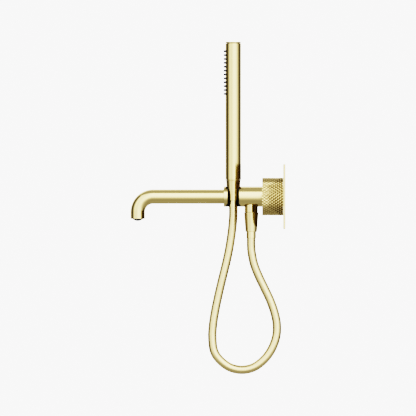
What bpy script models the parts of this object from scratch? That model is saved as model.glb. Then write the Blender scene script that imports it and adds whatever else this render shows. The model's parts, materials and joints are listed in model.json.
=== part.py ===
"""Wall mounted bath mixer: plate, two round knobs, spout with a holder slot, stick hand shower and hose.

Metres, +Z up.  The wall is the plane y = 0, the spout points to -Y, and the origin is on the spout's axis.
"""

import bpy
import bmesh
from math import cos, pi, radians, sin
from mathutils import Matrix, Vector

GAP = 0.0003  # clearance between neighbours

# Wall plate
PLATE_WIDTH = 0.300
PLATE_HEIGHT = 0.104
PLATE_THICK = 0.0036
PLATE_EDGE = 0.0007
GASKET_INSET = 0.005
GASKET_WIDTH = 0.006
GASKET_DEPTH = 0.0012

# Spout body: a round bar along -Y, cut by an upright hole that holds the hand shower
BODY_RADIUS = 0.0163
BODY_END = 0.0987
BODY_START = PLATE_THICK + 0.0004
BODY_BORE = 0.0112
BODY_BORE_END = 0.066
BODY_RECESS = 0.0144
BODY_RECESS_START = 0.0968
NIPPLE_RADIUS = 0.0106
NIPPLE_BORE = 0.008
NIPPLE_END = 0.020
SCREW_RADIUS = 0.0025

# Holder slot
HOLDER_X = 0.0028
HOLDER_Y = -0.0835
HOLDER_RADIUS = 0.0125
SLOT_WIDTH = 0.0182
LINER_OPENING = 0.0156
CHANNEL_X = -0.0124
CHANNEL_RADIUS = 0.0016
CHANNEL_SPACING = 0.0046

# Spout pipe
PIPE_RADIUS = 0.0115
PIPE_BORE = 0.0100
PIPE_REACH = 0.2363
PIPE_BEND = 0.0245
PIPE_DROP = 0.0356
BEND_STEPS = 7
AERATOR_RADIUS = 0.0085
AERATOR_DROP = 0.0034

# Hose outlet and hose
OUTLET_Y = -0.0548
OUTLET_RADIUS = 0.0106
OUTLET_BOTTOM = -0.0251
SPIGOT_RADIUS = 0.0083
THREAD_RADIUS = 0.0095
NUT_TOP_RADIUS = 0.0116
NUT_END_RADIUS = 0.0093
NUT_LENGTH = 0.0307
NUT_SEAT = 0.0203
NUT_HOLE = 0.0078
FERRULE_RADIUS = 0.0074
FERRULE_LENGTH = 0.0088
HOSE_RADIUS = 0.0070
HOSE_BORE = 0.0045
LOWER_NUT_TOP = -0.0256
UPPER_NUT_TOP = 0.0245

# Hand shower
STICK_RADIUS = 0.0125
STICK_BORE = 0.0110
STICK_BOTTOM = 0.0256
STICK_TOP = 0.2477
LIP_HEIGHT = 0.0018
CAP_HEIGHT = 0.0025
NOZZLE_ROWS = 12
NOZZLE_PITCH = 0.00621
NOZZLE_LOWEST = 0.1643
NOZZLE_COLUMN = 0.0035
NOZZLE_RADIUS = 0.00115
NOZZLE_REACH = 0.0030

# Valves and knobs
VALVE_X = 0.075
KNOB_RADIUS = 0.0302
KNOB_START = 0.0045
KNOB_END = 0.0372
KNOB_WALL = 0.0030
KNOB_FACE = 0.0032
SLEEVE_RADIUS = 0.018
SLEEVE_END = 0.0208
NECK_RADIUS = 0.0155
CARTRIDGE_RADIUS = 0.0127
SPINDLE_RADIUS = 0.0038
HUB_RADIUS = 0.0095
BOSS_RADIUS = 0.0135
GRUB_RADIUS = 0.0020

# The hose's centre line (y, z) from the outlet's ferrule, round the loop, to the hand shower's ferrule
HOSE_ROUTE = [
    (-0.0548, -0.0655), (-0.0549, -0.0765), (-0.0541, -0.0890), (-0.0501, -0.1083),
    (-0.0426, -0.1275), (-0.0334, -0.1467), (-0.0244, -0.1659), (-0.0176, -0.1851),
    (-0.0138, -0.2043), (-0.0147, -0.2235), (-0.0214, -0.2427), (-0.0330, -0.2595),
    (-0.0499, -0.2726), (-0.0691, -0.2771), (-0.0884, -0.2733), (-0.1040, -0.2622),
    (-0.1140, -0.2475), (-0.1170, -0.2260), (-0.1159, -0.2050), (-0.1123, -0.1820),
    (-0.1069, -0.1564), (-0.1024, -0.1371), (-0.0977, -0.1179), (-0.0931, -0.0987),
    (-0.0893, -0.0795), (-0.0857, -0.0550), (-0.0836, -0.0320), (-0.0835, -0.0155),
]
HOSE_STEP = 0.026

GOLD = (0.80, 0.64, 0.34)
BLACK = (0.02, 0.02, 0.022)
GREY = (0.16, 0.16, 0.17)
WHITE_PLASTIC = (0.75, 0.75, 0.73)
STEEL = (0.62, 0.62, 0.62)


def clear_scene():
    for obj in list(bpy.data.objects):
        bpy.data.objects.remove(obj)


def new_collection(name):
    found = bpy.data.collections.new(name)
    bpy.context.scene.collection.children.link(found)
    return found


def new_material(name, colour, roughness, metallic):
    made = bpy.data.materials.new(name)
    made.use_nodes = True
    shader = made.node_tree.nodes["Principled BSDF"]
    shader.inputs["Base Color"].default_value = (*colour, 1)
    shader.inputs["Roughness"].default_value = roughness
    shader.inputs["Metallic"].default_value = metallic
    return made


def add_object(name, data, material=None):
    """A named object: a part when it has a material, otherwise a cutter."""
    obj = bpy.data.objects.new(name, data)
    if material:
        parts.objects.link(obj)
        data.materials.append(material)
    else:
        cutters.objects.link(obj)
        obj.hide_render = True
        obj.display_type = "WIRE"
    return obj


def smooth(mesh):
    mesh.shade_smooth()
    mesh.set_sharp_from_angle(angle=radians(30))


def turned(name, outline, material=None, steps=24, centre=(0, 0, 0), towards_room=False):
    """A profile of (radius, height) points, turned about Z.

    An outline that starts and ends on the axis is a solid one, any other is a closed ring.  With
    towards_room the axis is laid along -Y, so a height is a distance from the wall.
    """
    mesh = bpy.data.meshes.new(name)
    count = len(outline)
    on_axis = outline[0][0] == 0 and outline[-1][0] == 0
    edges = [(i, (i + 1) % count) for i in range(count - on_axis)]
    mesh.from_pydata([(r, 0, h) for r, h in outline], edges, [])
    obj = add_object(name, mesh, material)
    obj.location = centre
    if towards_room:
        obj.rotation_euler.x = pi / 2
    screw = obj.modifiers.new("Turn", "SCREW")
    screw.steps = screw.render_steps = steps
    screw.use_merge_vertices = True
    screw.merge_threshold = 0.00001
    return obj


def rod(name, radius, start, end, material=None, sides=20):
    """A straight round bar between two points."""
    start, end = Vector(start), Vector(end)
    mesh = bpy.data.meshes.new(name)
    shape = bmesh.new()
    length = (end - start).length
    bmesh.ops.create_cone(shape, cap_ends=True, segments=sides, radius1=radius, radius2=radius, depth=length)
    shape.to_mesh(mesh)
    shape.free()
    obj = add_object(name, mesh, material)
    obj.location = (start + end) / 2
    obj.rotation_euler = (end - start).to_track_quat("Z", "Y").to_euler()
    return obj


def box(name, low, high, material=None):
    low, high = Vector(low), Vector(high)
    mesh = bpy.data.meshes.new(name)
    shape = bmesh.new()
    bmesh.ops.create_cube(shape, size=1, matrix=Matrix.Diagonal((*(high - low), 1)))
    shape.to_mesh(mesh)
    shape.free()
    obj = add_object(name, mesh, material)
    obj.location = (low + high) / 2
    return obj


def combine(obj, other, operation="DIFFERENCE"):
    modifier = obj.modifiers.new(other.name, "BOOLEAN")
    modifier.operation = operation
    modifier.object = other
    modifier.solver = "EXACT"


def tube_curve(name, points, radius, resolution):
    curve = bpy.data.curves.new(name, "CURVE")
    curve.dimensions = "3D"
    curve.bevel_depth = radius
    curve.bevel_resolution = resolution
    curve.use_fill_caps = True
    spline = curve.splines.new("POLY")
    spline.points.add(len(points) - 1)
    for point, place in zip(spline.points, points):
        point.co = (*place, 1)
    spline.use_smooth = True
    return curve


def tube_mesh(name, points, radius, resolution, material=None):
    """A tube along the points, made a closed mesh so that a Boolean can use it."""
    guide = add_object(name + "_guide", tube_curve(name, points, radius, resolution))
    evaluated = guide.evaluated_get(bpy.context.evaluated_depsgraph_get())
    mesh = bpy.data.meshes.new_from_object(evaluated)
    shape = bmesh.new()
    shape.from_mesh(mesh)
    bmesh.ops.remove_doubles(shape, verts=shape.verts, dist=0.00001)
    bmesh.ops.recalc_face_normals(shape, faces=shape.faces)
    shape.to_mesh(mesh)
    shape.free()
    obj = add_object(name, mesh, material)
    obj.matrix_world = guide.matrix_world
    bpy.data.objects.remove(guide)
    return obj


def make_plate():
    half = Vector((PLATE_WIDTH / 2, 0, PLATE_HEIGHT / 2))
    plate = box("wall_plate", (-half.x, -PLATE_THICK, -half.z), (half.x, 0, half.z), gold)
    corners = plate.modifiers.new("Edges", "BEVEL")
    corners.width = PLATE_EDGE
    corners.segments = 2
    combine(plate, rod("cut_inlet", NIPPLE_RADIUS + 0.0004, (0, 0.01, 0), (0, -0.02, 0), sides=24))
    for side in (-1, 1):
        x = side * VALVE_X
        hole = rod(f"cut_valve_{side}", NECK_RADIUS + GAP, (x, 0.01, 0), (x, -0.02, 0), sides=24)
        combine(plate, hole)
    combine(plate, frame_ring("cut_gasket", GASKET_INSET, GASKET_WIDTH, -GASKET_DEPTH, 0.001))
    frame_ring("wall_gasket", GASKET_INSET + GAP, GASKET_WIDTH - 2 * GAP, GAP - GASKET_DEPTH, 0, foam)


def frame_ring(name, inset, width, y_low, y_high, material=None):
    """A rectangular ring that follows the plate's outline, inset from its edge."""
    half_x, half_z = PLATE_WIDTH / 2 - inset, PLATE_HEIGHT / 2 - inset
    ring = box(name, (-half_x, y_low, -half_z), (half_x, y_high, half_z), material)
    inner = box(
        name + "_inside",
        (width - half_x, y_low - 0.01, width - half_z),
        (half_x - width, y_high + 0.01, half_z - width),
    )
    combine(ring, inner)
    return ring


def make_body():
    edge = 0.0003
    seal_inner, seal_outer, seal_depth = 0.0130, 0.0152, 0.0012
    outline = [
        (0, BODY_RECESS_START), (BODY_RECESS, BODY_RECESS_START), (BODY_RECESS, BODY_END),
        (BODY_RADIUS - edge, BODY_END), (BODY_RADIUS, BODY_END - edge),
        (BODY_RADIUS, BODY_START + edge), (BODY_RADIUS - edge, BODY_START),
        (seal_outer, BODY_START), (seal_outer, BODY_START + seal_depth),
        (seal_inner, BODY_START + seal_depth), (seal_inner, BODY_START),
        (BODY_BORE, BODY_START), (BODY_BORE, BODY_BORE_END), (0, BODY_BORE_END),
    ]
    body = turned("spout_body", outline, gold, 32, towards_room=True)
    holder = rod(
        "cut_holder", HOLDER_RADIUS, (HOLDER_X, HOLDER_Y, -0.03), (HOLDER_X, HOLDER_Y, 0.03), sides=28
    )
    combine(body, holder)
    half = SLOT_WIDTH / 2
    slot = box("cut_slot", (HOLDER_X, HOLDER_Y - half, -0.03), (0.03, HOLDER_Y + half, 0.03))
    combine(body, slot)
    combine(body, rod("cut_outlet", SPIGOT_RADIUS + GAP, (0, OUTLET_Y, -0.006), (0, OUTLET_Y, -0.03)))
    for i in (-1, 0, 1):
        z = i * CHANNEL_SPACING
        # Each channel starts a little inside the main bore, so that the two are joined.
        start = (CHANNEL_X, 0.004 - BODY_BORE_END, z)
        end = (CHANNEL_X, -BODY_RECESS_START - 0.001, z)
        combine(body, rod(f"cut_channel_{i}", CHANNEL_RADIUS, start, end, sides=12))
    screw_y = -(BODY_START + 0.0075)
    screw_hole = (0, screw_y, -0.008), (0, screw_y, -0.03)
    combine(body, rod("cut_body_screw", SCREW_RADIUS + GAP, *screw_hole, sides=12))
    screw_ends = (0, screw_y, -NIPPLE_RADIUS - GAP), (0, screw_y, 0.0004 - BODY_RADIUS)
    rod("spout_body_screw", SCREW_RADIUS, *screw_ends, steel, 16)
    turned(
        "spout_body_seal",
        [
            (seal_outer - GAP, BODY_START + seal_depth - GAP), (seal_outer - GAP, BODY_START),
            (seal_inner + GAP, BODY_START), (seal_inner + GAP, BODY_START + seal_depth - GAP),
        ],
        rubber, 24, towards_room=True,
    )
    turned(
        "spout_inlet_nipple",
        [
            (NIPPLE_RADIUS, NIPPLE_END), (NIPPLE_RADIUS, 0.0002), (NIPPLE_BORE, 0.0002),
            (NIPPLE_BORE, NIPPLE_END),
        ],
        brass, 20, towards_room=True,
    )


def make_liner():
    """A C-shaped sleeve, conical inside like the nut that rests in it, and flush with the round body."""
    half = BODY_RADIUS + 0.002
    slope = (NUT_TOP_RADIUS - NUT_END_RADIUS) / NUT_LENGTH
    outer = HOLDER_RADIUS - GAP

    def inside(z):
        return NUT_TOP_RADIUS - slope * (UPPER_NUT_TOP - z) + GAP

    nut_end = UPPER_NUT_TOP - NUT_LENGTH
    liner = turned(
        "holder_liner",
        [
            (outer, half), (outer, -half), (inside(nut_end), -half), (inside(nut_end), nut_end),
            (inside(half), half),
        ],
        black, 28, (HOLDER_X, HOLDER_Y, 0),
    )
    opening = LINER_OPENING / 2
    mouth_low, mouth_high = (HOLDER_X, HOLDER_Y - opening, -0.03), (0.03, HOLDER_Y + opening, 0.03)
    combine(liner, box("cut_liner_mouth", mouth_low, mouth_high))
    flush = rod("cut_liner_ends", BODY_RADIUS, (0, -0.05, 0), (0, -0.12, 0), sides=32)
    combine(liner, flush, "INTERSECT")


def make_spout_pipe():
    bend_start = PIPE_REACH - PIPE_BEND
    route = [(0, -BODY_RECESS_START - GAP, 0)]
    for i in range(BEND_STEPS + 1):
        angle = i * pi / 2 / BEND_STEPS
        route.append((0, -bend_start - PIPE_BEND * sin(angle), PIPE_BEND * (cos(angle) - 1)))
    route.append((0, -PIPE_REACH, -PIPE_DROP))
    bore = [(0, -0.090, 0), *route[1:-1], (0, -PIPE_REACH, -PIPE_DROP - 0.01)]
    pipe = tube_mesh("spout_pipe", route, PIPE_RADIUS, 6, gold)
    flange = turned(
        "join_flange",
        [
            (0, BODY_END - 0.0002), (BODY_RECESS - GAP, BODY_END - 0.0002),
            (BODY_RECESS - GAP, BODY_RECESS_START + GAP), (0, BODY_RECESS_START + GAP),
        ],
        steps=24, towards_room=True,
    )
    combine(pipe, flange, "UNION")
    combine(pipe, tube_mesh("cut_pipe_bore", bore, PIPE_BORE, 6))


def make_aerator():
    centre = (0, -PIPE_REACH, -PIPE_DROP)
    ring = PIPE_BORE - GAP
    opening = AERATOR_RADIUS + GAP
    turned(
        "aerator_housing",
        [(ring, 0.0085), (ring, 0.0002), (opening, 0.0002), (opening, 0.0085)],
        brass, 24, centre,
    )
    dome = [(AERATOR_RADIUS * sin(radians(a)), -AERATOR_DROP * cos(radians(a))) for a in (70, 45, 20)]
    turned(
        "aerator_insert",
        [
            (0, 0.0070), (AERATOR_RADIUS, 0.0070), (AERATOR_RADIUS, 0), *dome, (0, -AERATOR_DROP),
        ],
        grey, 24, centre,
    )
    turned(
        "aerator_seal",
        [(ring, 0.0108), (ring, 0.0088), (0.0065, 0.0088), (0.0065, 0.0108)],
        rubber, 20, centre,
    )


def make_outlet():
    centre = (0, OUTLET_Y, 0)
    thread_end = LOWER_NUT_TOP - 0.0155
    outlet = turned(
        "hose_outlet",
        [
            (OUTLET_RADIUS, -0.009), (OUTLET_RADIUS, OUTLET_BOTTOM), (THREAD_RADIUS, OUTLET_BOTTOM),
            (THREAD_RADIUS, thread_end), (0.0077, thread_end), (0.0077, -0.018), (0.0060, -0.018),
            (0.0060, -0.009),
        ],
        gold, 24, centre,
    )
    saddle = rod("cut_saddle", BODY_RADIUS + GAP, (0, -0.03, 0), (0, -0.08, 0), sides=32)
    combine(outlet, saddle)
    spigot = turned(
        "join_spigot",
        [(SPIGOT_RADIUS, -0.0118), (SPIGOT_RADIUS, -0.0178), (0.0062, -0.0178), (0.0062, -0.0118)],
        steps=20, centre=centre,
    )
    combine(outlet, spigot, "UNION")
    turned(
        "check_valve", [(0.0074, -0.0183), (0.0074, -0.034), (0.0045, -0.034), (0.0045, -0.0183)],
        white, 16, centre,
    )


def make_hose_end(prefix, x, y, nut_top):
    """Nut, ferrule with its flanged nipple, and washer.  The nut's wide end is up on both hose ends."""
    place = (x, y, nut_top)
    turned(
        prefix + "_hose_nut",
        [
            (NUT_TOP_RADIUS - 0.0004, 0), (NUT_TOP_RADIUS, -0.0004), (NUT_END_RADIUS, -NUT_LENGTH),
            (NUT_HOLE, -NUT_LENGTH), (NUT_HOLE, -NUT_SEAT), (THREAD_RADIUS + GAP, -NUT_SEAT),
            (THREAD_RADIUS + GAP, 0),
        ],
        gold, 24, place,
    )
    flange = THREAD_RADIUS - 0.0001
    turned(
        prefix + "_hose_fitting",
        [
            (flange, 0.0018 - NUT_SEAT), (flange, GAP - NUT_SEAT), (FERRULE_RADIUS, GAP - NUT_SEAT),
            (FERRULE_RADIUS, -NUT_LENGTH - FERRULE_LENGTH), (HOSE_BORE, -NUT_LENGTH - FERRULE_LENGTH),
            (HOSE_BORE, 0.0018 - NUT_SEAT),
        ],
        gold, 20, place,
    )
    turned(
        prefix + "_hose_washer",
        [
            (flange, 0.0041 - NUT_SEAT), (flange, 0.0021 - NUT_SEAT), (0.005, 0.0021 - NUT_SEAT),
            (0.005, 0.0041 - NUT_SEAT),
        ],
        rubber, 16, place,
    )


def smooth_route(points, step):
    """Points a step apart on a Catmull-Rom curve through the given ones."""
    guide = [points[0], *points, points[-1]]
    fine = []
    parts_each = 12
    for a, b, c, d in zip(guide, guide[1:], guide[2:], guide[3:]):
        for i in range(parts_each):
            t = i / parts_each
            square, cube = 2 * a - 5 * b + 4 * c - d, 3 * b - 3 * c + d - a
            fine.append(0.5 * (2 * b + (c - a) * t + square * t**2 + cube * t**3))
    fine.append(points[-1])
    total = sum((b - a).length for a, b in zip(fine, fine[1:]))
    spacing = total / round(total / step)
    route, walked = [fine[0]], 0
    for a, b in zip(fine, fine[1:]):
        length = (b - a).length
        while walked + length >= spacing:
            a = a.lerp(b, (spacing - walked) / length)
            length = (b - a).length
            walked = 0
            route.append(a)
        walked += length
    if (route[-1] - fine[-1]).length > spacing / 2:
        route.append(fine[-1])
    route[-1] = fine[-1]
    return route


def make_hose():
    """The hose drifts sideways from the outlet's axis to the holder's as it goes round."""
    count = len(HOSE_ROUTE) - 1
    points = []
    for i, (y, z) in enumerate(HOSE_ROUTE):
        part = min(max((i - 2) / (count - 4), 0), 1)
        points.append(Vector((HOLDER_X * part * part * (3 - 2 * part), y, z)))
    curve = tube_curve("shower_hose", smooth_route(points, HOSE_STEP), HOSE_RADIUS, 3)
    add_object("shower_hose", curve, gold)


def make_hand_shower():
    place = (HOLDER_X, HOLDER_Y, 0)
    inner = STICK_BORE - GAP
    lip_top, plug_top = STICK_BOTTOM + LIP_HEIGHT, STICK_BOTTOM + 0.014
    thread_low = UPPER_NUT_TOP - NUT_SEAT + 0.0045
    water_way = 0.0055
    turned(
        "shower_connector",
        [
            (inner, plug_top), (inner, lip_top), (STICK_RADIUS + 0.0001, lip_top),
            (STICK_RADIUS + 0.0001, STICK_BOTTOM), (THREAD_RADIUS, STICK_BOTTOM), (THREAD_RADIUS, thread_low),
            (water_way, thread_low), (water_way, plug_top),
        ],
        gold, 24, place,
    )
    tube_top = STICK_TOP - CAP_HEIGHT - GAP
    tube_low = lip_top + GAP
    tube = turned(
        "shower_tube",
        [(STICK_RADIUS, tube_top), (STICK_RADIUS, tube_low), (STICK_BORE, tube_low), (STICK_BORE, tube_top)],
        gold, 24, place,
    )
    combine(tube, nozzle_rods("cut_nozzles", NOZZLE_RADIUS + GAP, 0.004, STICK_RADIUS + 0.005, 6))
    turned(
        "shower_end_cap",
        [
            (0, STICK_TOP), (STICK_RADIUS - 0.0006, STICK_TOP), (STICK_RADIUS, STICK_TOP - 0.0006),
            (STICK_RADIUS, STICK_TOP - CAP_HEIGHT), (inner, STICK_TOP - CAP_HEIGHT),
            (inner, STICK_TOP - 0.009), (0, STICK_TOP - 0.009),
        ],
        gold, 24, place,
    )
    strip_low = NOZZLE_LOWEST - 0.004
    strip_high = NOZZLE_LOWEST + (NOZZLE_ROWS - 1) * NOZZLE_PITCH + 0.004
    strip_ends = (HOLDER_X, HOLDER_Y, strip_low), (HOLDER_X, HOLDER_Y, strip_high)
    strip_back = HOLDER_Y - 0.0072
    front = HOLDER_Y - 0.02
    # The strip is a slice of a round bar, so that it lies against the inside of the tube.
    strip = rod("nozzle_strip", inner, *strip_ends, black, 24)
    slice_low, slice_high = (HOLDER_X - 0.0060, front, 0.1), (HOLDER_X + 0.0060, strip_back, 0.3)
    combine(strip, box("cut_strip_front", slice_low, slice_high), "INTERSECT")
    nozzles = nozzle_rods("join_nozzles", NOZZLE_RADIUS, 0.0078, STICK_RADIUS + NOZZLE_REACH, 6)
    combine(strip, nozzles, "UNION")
    insert = rod("shower_insert", inner - 0.0002, *strip_ends, white, 20)
    combine(insert, box("cut_insert_front", (-0.03, front, 0.1), (0.03, strip_back + GAP, 0.3)))
    channel_low = (HOLDER_X - 0.0045, front, strip_low + 0.003)
    channel_high = (HOLDER_X + 0.0045, HOLDER_Y - 0.002, strip_high - 0.003)
    combine(insert, box("cut_insert_channel", channel_low, channel_high))
    inlet_y = HOLDER_Y - 0.003
    inlet_ends = (HOLDER_X, inlet_y, strip_low - 0.01), (HOLDER_X, inlet_y, strip_low + 0.01)
    combine(insert, rod("cut_insert_inlet", 0.0030, *inlet_ends, sides=12))
    feed_low, feed_high = plug_top + GAP, strip_low - GAP
    feed_radius, feed_bore = 0.0060, 0.0048
    turned(
        "shower_feed_tube",
        [(feed_radius, feed_high), (feed_radius, feed_low), (feed_bore, feed_low), (feed_bore, feed_high)],
        white, 12, place,
    )


def nozzle_rods(name, radius, start, end, sides):
    """One mesh of short rods along -Y, in two columns, from one distance to another off the stick's axis."""
    mesh = bpy.data.meshes.new(name)
    shape = bmesh.new()
    turn = Matrix.Rotation(pi / 2, 4, "X")
    middle_y = HOLDER_Y - (start + end) / 2
    for row in range(NOZZLE_ROWS):
        for side in (-1, 1):
            centre = Vector((HOLDER_X + side * NOZZLE_COLUMN, middle_y, NOZZLE_LOWEST + row * NOZZLE_PITCH))
            bmesh.ops.create_cone(
                shape, cap_ends=True, segments=sides, radius1=radius, radius2=radius, depth=end - start,
                matrix=Matrix.Translation(centre) @ turn,
            )
    shape.to_mesh(mesh)
    shape.free()
    return add_object(name, mesh)


def make_valve(prefix, x):
    """A sleeve screwed into the plate, a cartridge and its nut inside it, and the knob on the spindle."""
    place = (x, 0, 0)
    turned(
        prefix + "_sleeve",
        [
            (SLEEVE_RADIUS, SLEEVE_END), (SLEEVE_RADIUS, BODY_START), (NECK_RADIUS, BODY_START),
            (NECK_RADIUS, 0.0002), (CARTRIDGE_RADIUS + GAP, 0.0002),
            (CARTRIDGE_RADIUS + GAP, SLEEVE_END),
        ],
        gold, 24, place, True,
    )
    bore = SPINDLE_RADIUS + GAP
    turned(
        prefix + "_cartridge",
        [
            (0, 0.0080), (bore, 0.0080), (bore, 0.0205), (0.0085, 0.0205), (0.0085, 0.0170),
            (CARTRIDGE_RADIUS, 0.0170), (CARTRIDGE_RADIUS, 0.0004), (0, 0.0004),
        ],
        grey, 20, place, True,
    )
    turned(
        prefix + "_cartridge_nut",
        [
            (NECK_RADIUS, 0.0235), (NECK_RADIUS, SLEEVE_END + GAP), (CARTRIDGE_RADIUS, SLEEVE_END + GAP),
            (CARTRIDGE_RADIUS, 0.0173), (0.0088, 0.0173), (0.0088, 0.0235),
        ],
        brass, 16, place, True,
    )
    turned(
        prefix + "_spindle",
        [(0, 0.0305), (SPINDLE_RADIUS, 0.0305), (SPINDLE_RADIUS, 0.0083), (0, 0.0083)],
        brass, 12, place, True,
    )
    cavity_end = KNOB_END - KNOB_FACE
    turned(
        prefix + "_knob_hub",
        [
            (0, cavity_end - GAP), (HUB_RADIUS, cavity_end - GAP), (HUB_RADIUS, 0.0245), (bore, 0.0245),
            (bore, 0.0308), (0, 0.0308),
        ],
        brass, 16, place, True,
    )
    knob = turned(
        prefix + "_knob",
        [
            (0, KNOB_END), (KNOB_RADIUS - 0.0003, KNOB_END), (KNOB_RADIUS, KNOB_END - 0.0003),
            (KNOB_RADIUS, KNOB_START), (KNOB_RADIUS - KNOB_WALL, KNOB_START),
            (KNOB_RADIUS - KNOB_WALL, cavity_end), (BOSS_RADIUS, cavity_end), (BOSS_RADIUS, 0.0250),
            (HUB_RADIUS + GAP, 0.0250), (HUB_RADIUS + GAP, cavity_end), (0, cavity_end),
        ],
        gold, 32, place, True,
    )
    grub_y = -0.0292
    hole_ends = (x, grub_y, 0.001 - HUB_RADIUS), (x, grub_y, -0.04)
    combine(knob, rod(f"cut_{prefix}_grub", GRUB_RADIUS + GAP, *hole_ends, sides=12))
    screw_ends = (x, grub_y, -HUB_RADIUS - GAP), (x, grub_y, 0.0002 - BOSS_RADIUS)
    rod(prefix + "_knob_screw", GRUB_RADIUS, *screw_ends, steel, 12)


clear_scene()
parts = new_collection("wall_mounted_bath_faucet")
cutters = new_collection("cutters")
gold = new_material("brushed_gold", GOLD, 0.22, 1)
brass = new_material("plain_brass", (0.72, 0.56, 0.28), 0.35, 1)
steel = new_material("screw_steel", STEEL, 0.35, 1)
black = new_material("black_plastic", BLACK, 0.45, 0)
grey = new_material("grey_plastic", GREY, 0.40, 0)
white = new_material("white_plastic", WHITE_PLASTIC, 0.45, 0)
rubber = new_material("seal_rubber", (0.03, 0.03, 0.03), 0.7, 0)
foam = new_material("seal_foam", (0.05, 0.05, 0.05), 0.9, 0)

make_plate()
make_body()
make_liner()
make_spout_pipe()
make_aerator()
make_outlet()
make_hose_end("lower", 0, OUTLET_Y, LOWER_NUT_TOP)
make_hose_end("upper", HOLDER_X, HOLDER_Y, UPPER_NUT_TOP)
make_hose()
make_hand_shower()
make_valve("mixer", VALVE_X)
make_valve("diverter", -VALVE_X)
for obj in parts.objects:
    if obj.type == "MESH" and not obj.modifiers:
        smooth(obj.data)
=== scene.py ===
import json
import math
import bmesh
import bpy
import mathutils
import numpy as np
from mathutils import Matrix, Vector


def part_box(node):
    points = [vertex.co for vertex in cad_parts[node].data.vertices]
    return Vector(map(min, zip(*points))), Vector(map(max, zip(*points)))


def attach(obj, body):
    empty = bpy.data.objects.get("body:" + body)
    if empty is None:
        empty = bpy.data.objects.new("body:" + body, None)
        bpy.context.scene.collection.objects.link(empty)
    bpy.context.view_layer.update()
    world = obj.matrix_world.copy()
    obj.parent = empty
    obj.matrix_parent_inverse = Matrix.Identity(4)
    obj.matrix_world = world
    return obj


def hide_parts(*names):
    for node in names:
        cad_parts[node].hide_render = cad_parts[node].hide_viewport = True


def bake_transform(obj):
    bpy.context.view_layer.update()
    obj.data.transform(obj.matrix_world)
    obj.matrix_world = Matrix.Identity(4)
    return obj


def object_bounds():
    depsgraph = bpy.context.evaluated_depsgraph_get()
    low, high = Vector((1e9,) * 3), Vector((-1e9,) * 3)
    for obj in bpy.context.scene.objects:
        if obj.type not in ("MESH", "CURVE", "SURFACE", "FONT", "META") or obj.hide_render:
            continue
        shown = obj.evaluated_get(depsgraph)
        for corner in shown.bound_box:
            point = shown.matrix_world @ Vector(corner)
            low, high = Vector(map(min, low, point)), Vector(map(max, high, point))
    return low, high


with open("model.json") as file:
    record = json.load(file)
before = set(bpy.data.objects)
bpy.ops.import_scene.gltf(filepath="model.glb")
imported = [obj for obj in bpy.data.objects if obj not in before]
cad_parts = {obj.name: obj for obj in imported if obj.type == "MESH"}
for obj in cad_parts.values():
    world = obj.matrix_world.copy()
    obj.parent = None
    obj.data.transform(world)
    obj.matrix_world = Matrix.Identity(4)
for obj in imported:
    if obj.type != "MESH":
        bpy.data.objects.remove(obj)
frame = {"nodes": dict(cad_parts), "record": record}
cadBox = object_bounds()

nodes = frame["nodes"]
mm = 0.001
fullTurn = 2 * math.pi
print("frame loaded:", len(nodes), "CAD nodes")


# The object is seen square from its side, with no perspective.
cameraSet = {"width": 0.6656, "distance": 3.0, "lower": 0.0007}


def addCamera():
    low, high = (np.array(corner) for corner in cadBox)
    middle = (low + high) / 2
    data = bpy.data.cameras.new("sideCamera")
    data.type = "ORTHO"
    data.ortho_scale = cameraSet["width"]
    data.clip_end = 20
    camera = bpy.data.objects.new("sideCamera", data)
    camera.location = (cameraSet["distance"], middle[1], middle[2] - cameraSet["lower"])
    camera.rotation_euler = (math.pi / 2, 0, math.pi / 2)
    bpy.context.scene.collection.objects.link(camera)
    bpy.context.scene.camera = camera


# Brightness of the studio all round, as (degrees, brightness). "around" is 0 in front of the holder slot (+X), 90
# at the wall and -90 out in the room. "upward" is -90 straight below and 90 straight above.
studioSet = {
    "around": [
        (-180, 0.60), (-145, 0.50), (-129, 0.18), (-115, 0.04), (-98, 0.03), (-88, 0.06), (-78, 0.15), (-70, 0.28),
        (-58, 0.60), (-50, 0.80), (-40, 0.74), (-32, 0.70), (-20, 0.74), (-8, 0.92), (4, 1.15), (28, 1.20),
        (43, 1.00), (58, 0.60), (72, 0.36), (87, 0.11), (105, 0.04), (125, 0.04), (140, 0.45), (180, 0.60),
    ],
    "upward": [
        (-90, 0.175), (-62, 0.16), (-44, 0.17), (-27, 0.26), (-17, 0.42), (-11, 0.60), (5, 0.86), (20, 1.0),
        (50, 1.0), (54, 0.80), (59, 0.23), (74, 0.19), (90, 0.21),
    ],
    "strength": 3.0,
    "deepShare": 0.22,    # what a second mirroring still gets of it
    "evenLight": 0.4,     # takes the place of "around" above and below the strips
    "backdrop": 3.6,
    "strips": (-0.70, -0.25, 0.75, 0.97),     # heights where the strips begin, are full, start to fade and end
}


rampTop = 2


# Stops from -span to span degrees on a ramp from 0 to 1. The ramp holds brightness as a share of rampTop.
def fillRamp(ramp, stops):
    span = stops[-1][0]
    stops = [((degrees + span) / (2 * span), value / rampTop) for degrees, value in stops]
    elements = ramp.color_ramp.elements
    while len(elements) > 1:
        elements.remove(elements[0])
    for i, (place, value) in enumerate(stops):
        stop = elements[0] if i == 0 else elements.new(place)
        stop.position = place
        stop.color = (value, value, value, 1)


# A math node whose inputs are numbers or the outputs of other nodes.
def mathNode(tree, operation, *values):
    node = tree.nodes.new("ShaderNodeMath")
    node.operation = operation
    for socket, value in zip(node.inputs, values):
        if isinstance(value, (int, float)):
            socket.default_value = value
        else:
            tree.links.new(value, socket)
    return node.outputs[0]


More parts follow.
